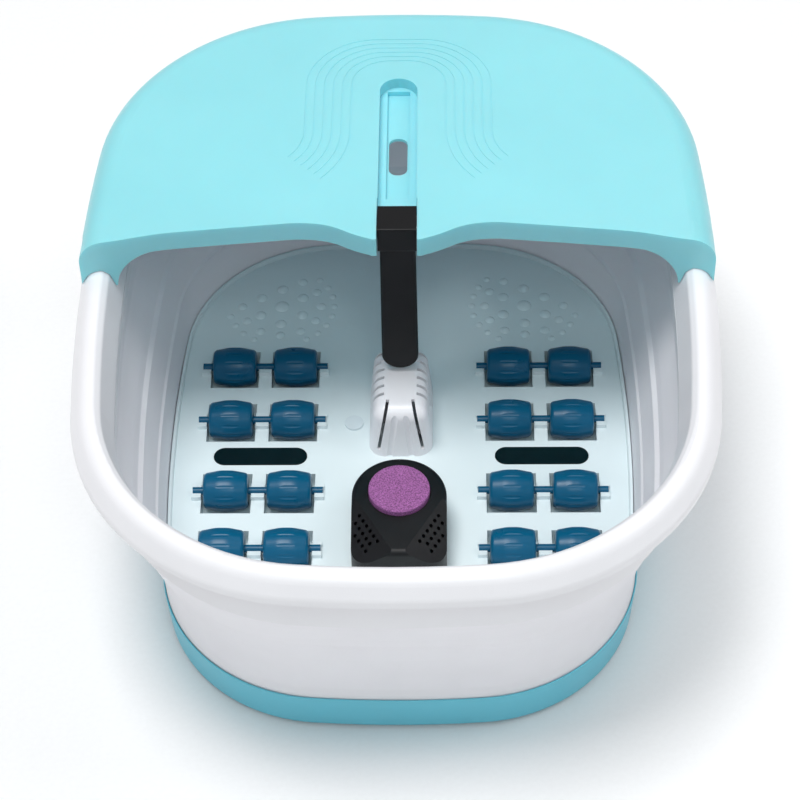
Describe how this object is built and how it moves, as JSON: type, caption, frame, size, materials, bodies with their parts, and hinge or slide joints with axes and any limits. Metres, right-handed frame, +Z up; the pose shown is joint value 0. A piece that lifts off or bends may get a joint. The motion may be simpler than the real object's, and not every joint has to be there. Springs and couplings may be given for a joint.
{
  "type": "foot spa basin",
  "caption": "Collapsible foot spa basin with an aqua splash hood, folding support arm, massage rollers, vented heater tower and a herb box with pumice.",
  "frame": {"origin": "on the floor under the middle of the basin", "axes": "+Z up, -Y towards the seated user, +Y towards the splash hood"},
  "size_m": [0.4008, 0.4854, 0.225],
  "materials": {
    "base_aqua": "satin",
    "foot_rubber": "matte",
    "cover_grey": "matte",
    "screw_steel": "satin",
    "pan_white": "satin",
    "wall_soft": "matte",
    "rim_white": "satin",
    "hood_aqua": "satin",
    "pin_steel": "satin",
    "arm_black": "satin",
    "housing_white": "satin",
    "heater_metal": "satin",
    "gland_rubber": "matte",
    "probe_steel": "satin",
    "pump_grey": "matte",
    "hose_clear": "satin",
    "board_green": "satin",
    "fitting_black": "matte",
    "rocker_black": "gloss",
    "plug_white": "satin",
    "window_black": "gloss",
    "box_black": "satin",
    "pumice_purple": "matte",
    "roller_teal": "gloss"
  },
  "bodies": {
    "base": {"base_ring": "base_aqua", "rubber_feet": "foot_rubber", "bottom_cover": "cover_grey", "cover_screws": "screw_steel", "floor_pan": "pan_white", "lower_clamp_ring": "pan_white", "fold_wall": "wall_soft", "centre_housing": "housing_white", "housing_screws": "screw_steel", "heater_element": "heater_metal", "heater_gland": "gland_rubber", "temp_probe": "probe_steel", "air_pump": "pump_grey", "air_hose": "hose_clear", "air_outlet": "pan_white", "control_board": "board_green", "power_inlet": "fitting_black", "switch_bezel": "fitting_black", "drain_tube": "cover_grey", "light_window_left": "window_black", "light_window_right": "window_black", "light_board_left": "board_green", "light_board_right": "board_green", "roller_clips": "pan_white"},
    "rim": {"rim_frame": "rim_white", "upper_clamp_ring": "rim_white"},
    "hood": {"hood_shell": "hood_aqua", "arm_hinge_pin": "pin_steel"},
    "arm": {"support_arm": "arm_black"},
    "rocker": {"power_rocker": "rocker_black"},
    "plug": {"drain_plug": "plug_white"},
    "herb_unit": {"herb_box": "box_black", "herb_box_base": "box_black"},
    "pumice": {"pumice_stone": "pumice_purple"},
    "roller_1": {"roller_bar_1": "roller_teal"},
    "roller_2": {"roller_bar_2": "roller_teal"},
    "roller_3": {"roller_bar_3": "roller_teal"},
    "roller_4": {"roller_bar_4": "roller_teal"},
    "roller_5": {"roller_bar_5": "roller_teal"},
    "roller_6": {"roller_bar_6": "roller_teal"},
    "roller_7": {"roller_bar_7": "roller_teal"},
    "roller_8": {"roller_bar_8": "roller_teal"}
  },
  "joints": [
    {"name": "rim_collapse", "type": "slide", "parent": "base", "child": "rim", "axis": [0, 0, 1], "range_m": [-0.088, 0], "deforming": ["fold_wall"]},
    {"name": "hood_lift", "type": "slide", "parent": "rim", "child": "hood", "axis": [0, 0, 1], "range_m": [0, 0.08]},
    {"name": "arm_fold", "type": "hinge", "parent": "hood", "child": "arm", "pos_m": [0, 0.032, 0.2153], "axis": [1, 0, 0], "range_deg": [-270, 0]},
    {"name": "herb_box_lift", "type": "slide", "parent": "base", "child": "herb_unit", "axis": [0, 0, 1], "range_m": [0, 0.06]},
    {"name": "pumice_lift", "type": "slide", "parent": "herb_unit", "child": "pumice", "axis": [0, 0, 1], "range_m": [0, 0.02]},
    {"name": "drain_plug_lift", "type": "slide", "parent": "base", "child": "plug", "axis": [0, 0, 1], "range_m": [0, 0.02]},
    {"name": "power_switch", "type": "hinge", "parent": "base", "child": "rocker", "pos_m": [0.022, 0.1983, 0.018], "axis": [1, 0, 0], "range_deg": [-7, 7]},
    {"name": "roller_spin_1", "type": "hinge", "parent": "base", "child": "roller_1", "pos_m": [-0.0944, 0.0738, 0.0428], "axis": [1, 0, 0], "continuous": true},
    {"name": "roller_spin_2", "type": "hinge", "parent": "base", "child": "roller_2", "pos_m": [-0.0944, 0.0246, 0.0428], "axis": [1, 0, 0], "continuous": true},
    {"name": "roller_spin_3", "type": "hinge", "parent": "base", "child": "roller_3", "pos_m": [-0.0944, -0.0382, 0.0428], "axis": [1, 0, 0], "continuous": true},
    {"name": "roller_spin_4", "type": "hinge", "parent": "base", "child": "roller_4", "pos_m": [-0.0944, -0.0872, 0.0428], "axis": [1, 0, 0], "continuous": true},
    {"name": "roller_spin_5", "type": "hinge", "parent": "base", "child": "roller_5", "pos_m": [0.0944, 0.0738, 0.0428], "axis": [1, 0, 0], "continuous": true},
    {"name": "roller_spin_6", "type": "hinge", "parent": "base", "child": "roller_6", "pos_m": [0.0944, 0.0246, 0.0428], "axis": [1, 0, 0], "continuous": true},
    {"name": "roller_spin_7", "type": "hinge", "parent": "base", "child": "roller_7", "pos_m": [0.0944, -0.0382, 0.0428], "axis": [1, 0, 0], "continuous": true},
    {"name": "roller_spin_8", "type": "hinge", "parent": "base", "child": "roller_8", "pos_m": [0.0944, -0.0872, 0.0428], "axis": [1, 0, 0], "continuous": true}
  ],
  "couplings": [
    {"joint": "arm_fold", "follows": "rim_collapse", "rad_per_m": 53.549}
  ]
}
